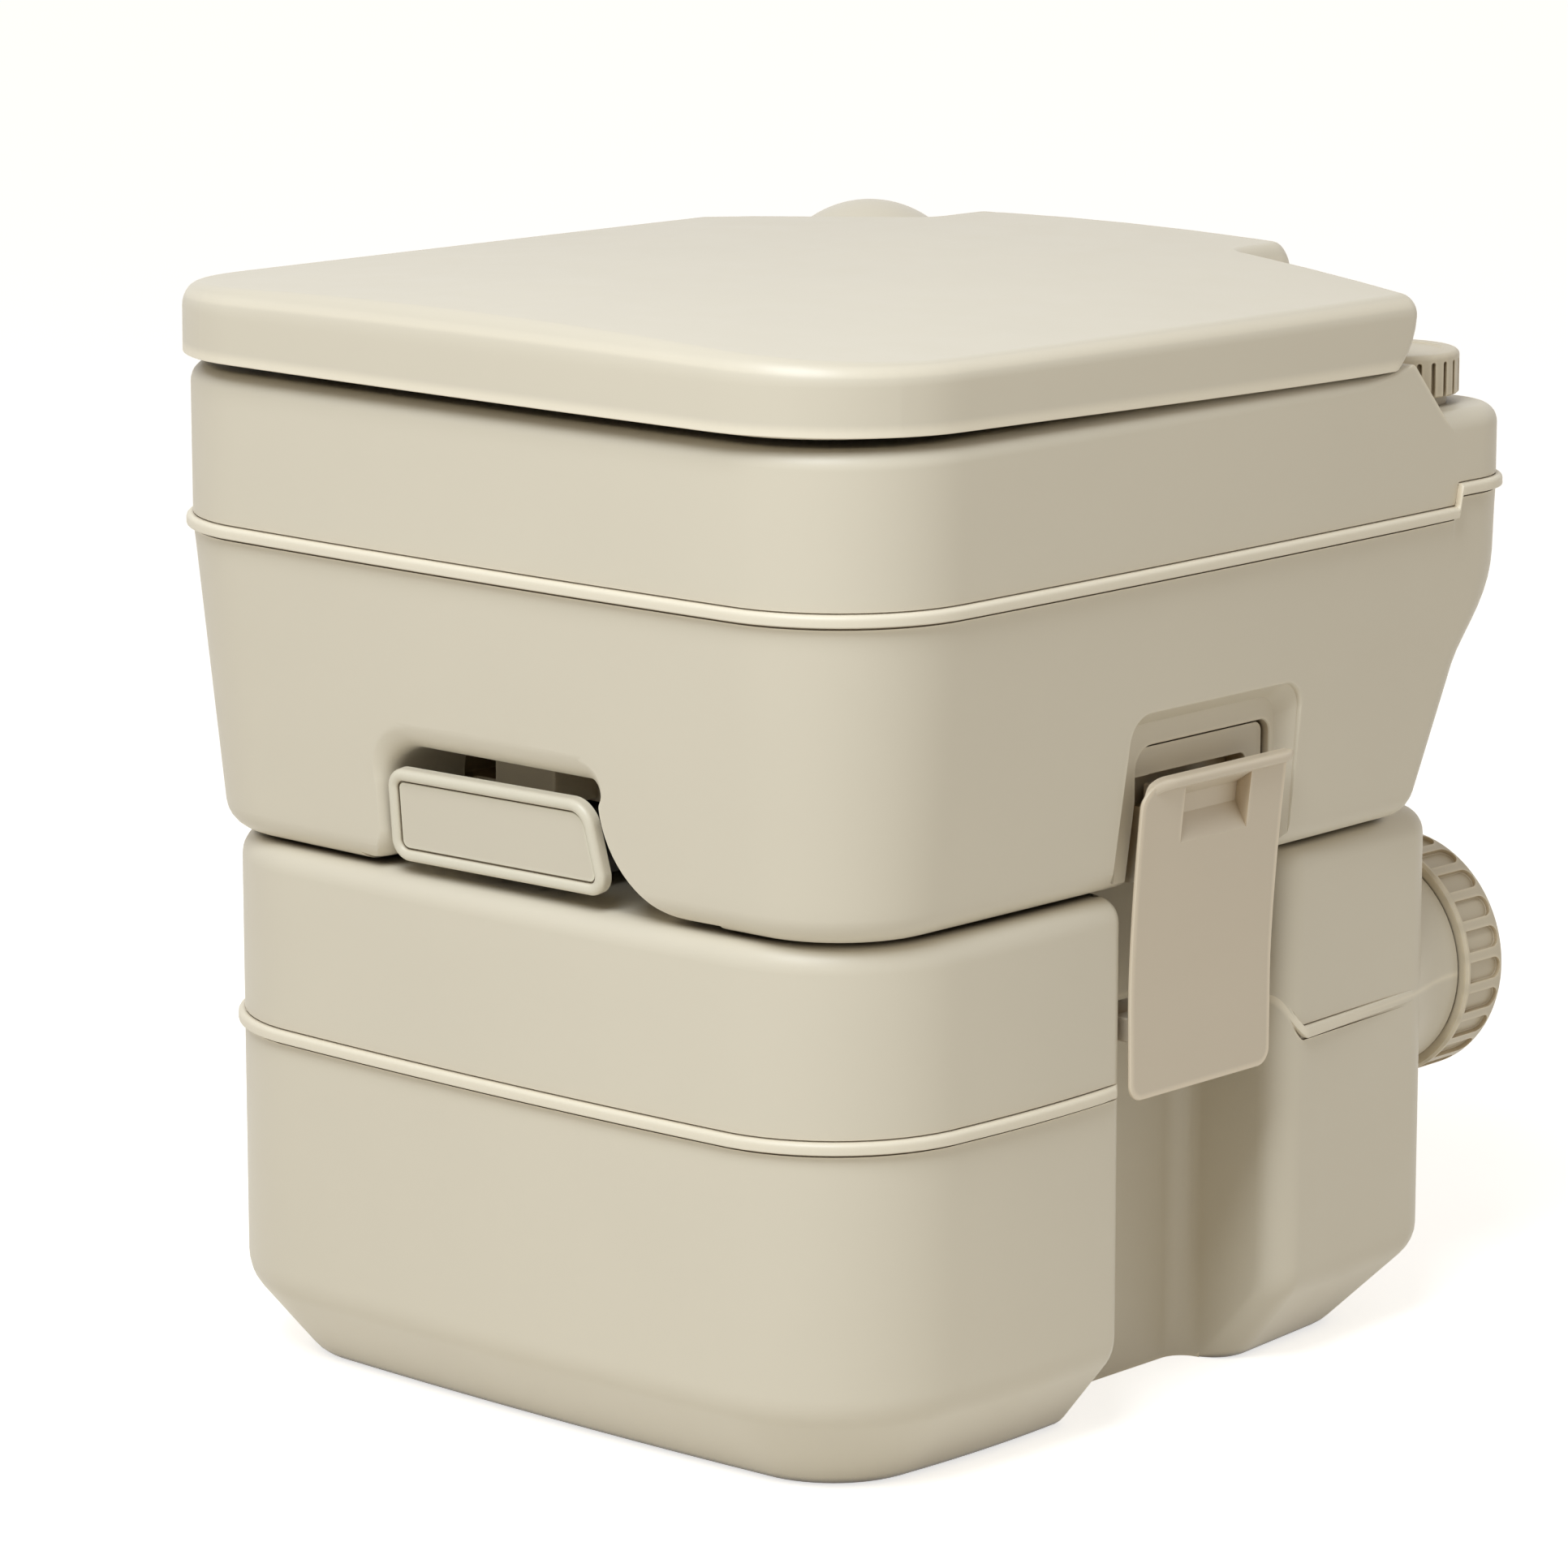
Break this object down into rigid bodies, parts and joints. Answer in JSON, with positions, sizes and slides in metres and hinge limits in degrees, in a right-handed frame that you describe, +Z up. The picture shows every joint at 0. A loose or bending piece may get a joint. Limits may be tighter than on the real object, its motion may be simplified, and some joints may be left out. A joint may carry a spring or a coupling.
{
  "type": "portable toilet",
  "caption": "Box-shaped camping toilet: a flush tank with bowl, seat and lid latched on a waste holding tank with a slide valve and a capped pour-out spout.",
  "frame": {"origin": "on the floor under the middle of the waste tank's base", "axes": "+Z up, -Y to the front where the valve handle is, +X to the right seen from the front"},
  "size_m": [0.365, 0.4141, 0.4106],
  "materials": {
    "ivory_plastic": "satin moulded polyethylene, ivory",
    "valve_plastic": "dark moulded plastic",
    "soft_rubber": "matt soft rubber",
    "steel": "plain steel",
    "clear_tube": "milky plastic tube"
  },
  "bodies": {
    "root": {"waste_tank_base": "ivory_plastic", "waste_tank_top": "ivory_plastic", "flush_tank_base": "ivory_plastic", "flush_tank_top": "ivory_plastic", "pump_body": "ivory_plastic", "pump_collar": "ivory_plastic", "spray_nozzle": "ivory_plastic", "valve_frame": "valve_plastic", "valve_cover": "valve_plastic", "valve_gasket": "soft_rubber", "outlet_seal": "soft_rubber", "pump_bellows": "soft_rubber", "pump_check_valve": "soft_rubber", "valve_screws": "steel", "right_hinge_pin": "steel", "left_hinge_pin": "steel", "right_latch_pin": "steel", "left_latch_pin": "steel", "pickup_tube": "clear_tube", "flush_hose": "clear_tube"},
    "seat": {"seat": "ivory_plastic", "seat_bumpers": "soft_rubber"},
    "lid": {"lid": "ivory_plastic", "lid_bumpers": "soft_rubber"},
    "fill_gasket": {"fill_gasket": "soft_rubber"},
    "fill_cap": {"fill_cap": "ivory_plastic"},
    "spout_gasket": {"spout_gasket": "soft_rubber"},
    "spout_cap": {"spout_cap": "ivory_plastic"},
    "pump_knob": {"pump_knob": "ivory_plastic"},
    "valve": {"valve_blade": "valve_plastic", "valve_handle": "ivory_plastic", "handle_screws": "steel"},
    "right_latch": {"right_latch": "ivory_plastic"},
    "left_latch": {"left_latch": "ivory_plastic"}
  },
  "joints": [
    {"name": "seat_hinge", "type": "hinge", "parent": "root", "child": "seat", "pos_m": [0, 0.168, 0.3865], "axis": [1, 0, 0], "range_deg": [-95, 0]},
    {"name": "lid_hinge", "type": "hinge", "parent": "seat", "child": "lid", "pos_m": [0, 0.168, 0.3865], "axis": [-1, 0, 0], "range_deg": [0, 95]},
    {"name": "fill_cap_lift", "type": "slide", "parent": "root", "child": "fill_gasket", "axis": [0, 0, 1], "range_m": [0, 0.006]},
    {"name": "fill_cap_turn", "type": "hinge", "parent": "fill_gasket", "child": "fill_cap", "pos_m": [0.14, 0.166, 0.3705], "axis": [0, 0, 1], "range_deg": [0, 540]},
    {"name": "spout_cap_lift", "type": "slide", "parent": "root", "child": "spout_gasket", "axis": [0, 1, 0], "range_m": [0, 0.0075]},
    {"name": "spout_cap_turn", "type": "hinge", "parent": "spout_gasket", "child": "spout_cap", "pos_m": [0.108, 0.2215, 0.13], "axis": [0, 1, 0], "range_deg": [0, 540]},
    {"name": "pump_press", "type": "slide", "parent": "root", "child": "pump_knob", "axis": [0, 0, -1], "range_m": [0, 0.022], "stiffness_N_per_m": 300, "springref_m": -0.003, "deforming": ["pump_bellows"]},
    {"name": "valve_pull", "type": "slide", "parent": "root", "child": "valve", "axis": [0, -1, 0], "range_m": [0, 0.1]},
    {"name": "right_latch_swing", "type": "hinge", "parent": "root", "child": "right_latch", "pos_m": [0.154, 0.0185, 0.15], "axis": [0, 1, 0], "range_deg": [0, 65]},
    {"name": "left_latch_swing", "type": "hinge", "parent": "root", "child": "left_latch", "pos_m": [-0.154, 0.0185, 0.15], "axis": [0, -1, 0], "range_deg": [0, 65]}
  ],
  "couplings": [
    {"joint": "fill_cap_lift", "follows": "fill_cap_turn", "m_per_rad": 0.00063662},
    {"joint": "spout_cap_lift", "follows": "spout_cap_turn", "m_per_rad": 0.00079577}
  ]
}
